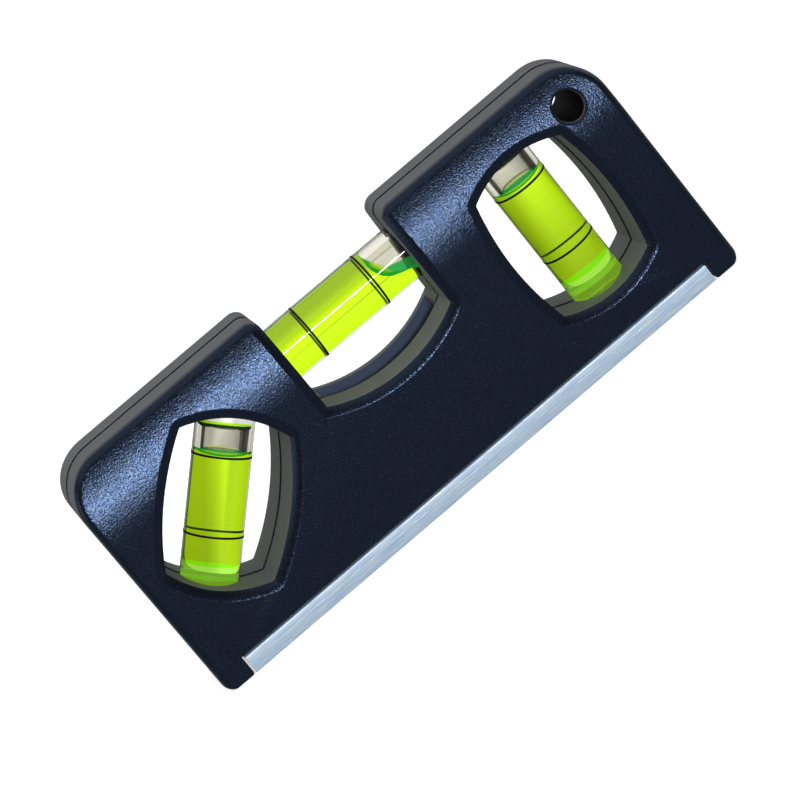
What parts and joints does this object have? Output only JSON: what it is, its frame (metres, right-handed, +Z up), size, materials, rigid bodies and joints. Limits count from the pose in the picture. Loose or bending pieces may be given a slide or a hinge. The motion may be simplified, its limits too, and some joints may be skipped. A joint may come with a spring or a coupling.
{
  "type": "mini magnetic level",
  "caption": "Pocket spirit level: black moulded housing with level, plumb and diagonal vials in open windows, a hanging hole, and an aluminium base rail with a magnet strip.",
  "frame": {"origin": "middle of the resting face, halfway through the thickness", "axes": "+X along the base towards the end with the hanging hole, +Z up from the base, -Y towards the viewer of the pictured side"},
  "size_m": [0.1106, 0.02, 0.0452],
  "materials": {
    "housing_plastic": "fine grained moulded black plastic with a faint blue cast",
    "rail_aluminium": "extruded, brushed along its length",
    "magnet_rubber": "flexible magnet strip, matt",
    "vial_acrylic": "clear turned acrylic",
    "vial_plug": "clear acrylic plug tinted by the liquid",
    "vial_liquid": "yellow-green spirit",
    "vial_bubble": "air",
    "ring_paint": "printed black line",
    "screw_steel": "zinc plated steel"
  },
  "bodies": {
    "housing": {"front_shell": "housing_plastic", "rear_shell": "housing_plastic", "base_rail": "rail_aluminium", "magnet_strip": "magnet_rubber", "level_tube": "vial_acrylic", "level_plug": "vial_plug", "level_liquid": "vial_liquid", "level_ring_low": "ring_paint", "level_ring_high": "ring_paint", "plumb_tube": "vial_acrylic", "plumb_plug": "vial_plug", "plumb_liquid": "vial_liquid", "plumb_ring_low": "ring_paint", "plumb_ring_high": "ring_paint", "angle_tube": "vial_acrylic", "angle_plug": "vial_plug", "angle_liquid": "vial_liquid", "angle_ring_low": "ring_paint", "angle_ring_high": "ring_paint", "housing_screw_1": "screw_steel", "housing_screw_2": "screw_steel", "housing_screw_3": "screw_steel", "housing_screw_4": "screw_steel", "housing_screw_5": "screw_steel", "housing_screw_6": "screw_steel"},
    "level_air": {"level_bubble": "vial_bubble"},
    "plumb_air": {"plumb_bubble": "vial_bubble"},
    "angle_air": {"angle_bubble": "vial_bubble"}
  },
  "joints": [
    {"name": "level_bubble_slide", "type": "slide", "parent": "housing", "child": "level_air", "axis": [1, 0, 0], "range_m": [-0.02, 0], "deforming": ["level_liquid"]},
    {"name": "plumb_bubble_slide", "type": "slide", "parent": "housing", "child": "plumb_air", "axis": [0, 0, 1], "range_m": [-0.0179, 0], "stiffness_N_per_m": 0.1, "springref_m": 0.05, "deforming": ["plumb_liquid"]},
    {"name": "angle_bubble_slide", "type": "slide", "parent": "housing", "child": "angle_air", "axis": [0.7071, 0, 0.7071], "range_m": [-0.0179, 0], "stiffness_N_per_m": 0.1, "springref_m": 0.05, "deforming": ["angle_liquid"]}
  ]
}
